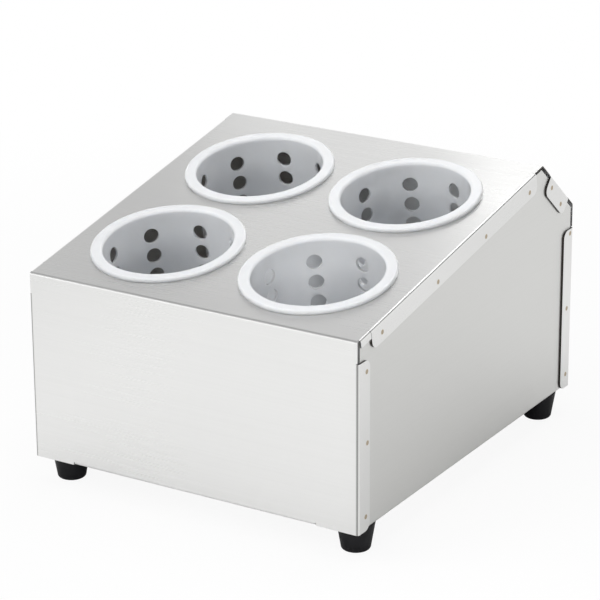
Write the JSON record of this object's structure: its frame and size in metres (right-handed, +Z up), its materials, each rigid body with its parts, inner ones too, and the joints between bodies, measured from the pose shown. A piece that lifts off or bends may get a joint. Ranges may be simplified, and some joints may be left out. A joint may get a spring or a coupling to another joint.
{
  "type": "flatware cylinder holder",
  "caption": "Sloped countertop holder folded from brushed stainless sheet on rubber feet, with perforated white plastic cylinders that lift out of its top.",
  "frame": {"origin": "on the counter, under the middle of the housing", "axes": "+X to the right seen from the front, +Y to the back, +Z up; the low front panel faces -Y"},
  "size_m": [0.2762, 0.3256, 0.2148],
  "materials": {
    "stainless_wrap": "brushed across the width",
    "stainless_side": "brushed",
    "white_plastic": "smooth moulded polypropylene, slightly translucent",
    "black_rubber": "matt moulded",
    "zinc_steel": "zinc plated"
  },
  "bodies": {
    "housing": {"housing_wrap": "stainless_wrap", "left_side_panel": "stainless_side", "right_side_panel": "stainless_side", "foot_front_left": "black_rubber", "foot_front_right": "black_rubber", "foot_back_left": "black_rubber", "foot_back_right": "black_rubber", "foot_washer_front_left": "zinc_steel", "foot_washer_front_right": "zinc_steel", "foot_washer_back_left": "zinc_steel", "foot_washer_back_right": "zinc_steel", "foot_screw_front_left": "zinc_steel", "foot_screw_front_right": "zinc_steel", "foot_screw_back_left": "zinc_steel", "foot_screw_back_right": "zinc_steel", "foot_nut_front_left": "zinc_steel", "foot_nut_front_right": "zinc_steel", "foot_nut_back_left": "zinc_steel", "foot_nut_back_right": "zinc_steel"},
    "cylinder_front_left": {"cylinder_front_left": "white_plastic"},
    "cylinder_front_right": {"cylinder_front_right": "white_plastic"},
    "cylinder_back_left": {"cylinder_back_left": "white_plastic"},
    "cylinder_back_right": {"cylinder_back_right": "white_plastic"}
  },
  "joints": [
    {"name": "lift_front_left", "type": "slide", "parent": "housing", "child": "cylinder_front_left", "axis": [0, -0.1788, 0.9839], "range_m": [0, 0.15]},
    {"name": "lift_front_right", "type": "slide", "parent": "housing", "child": "cylinder_front_right", "axis": [0, -0.1788, 0.9839], "range_m": [0, 0.15]},
    {"name": "lift_back_left", "type": "slide", "parent": "housing", "child": "cylinder_back_left", "axis": [0, -0.1788, 0.9839], "range_m": [0, 0.15]},
    {"name": "lift_back_right", "type": "slide", "parent": "housing", "child": "cylinder_back_right", "axis": [0, -0.1788, 0.9839], "range_m": [0, 0.15]}
  ]
}
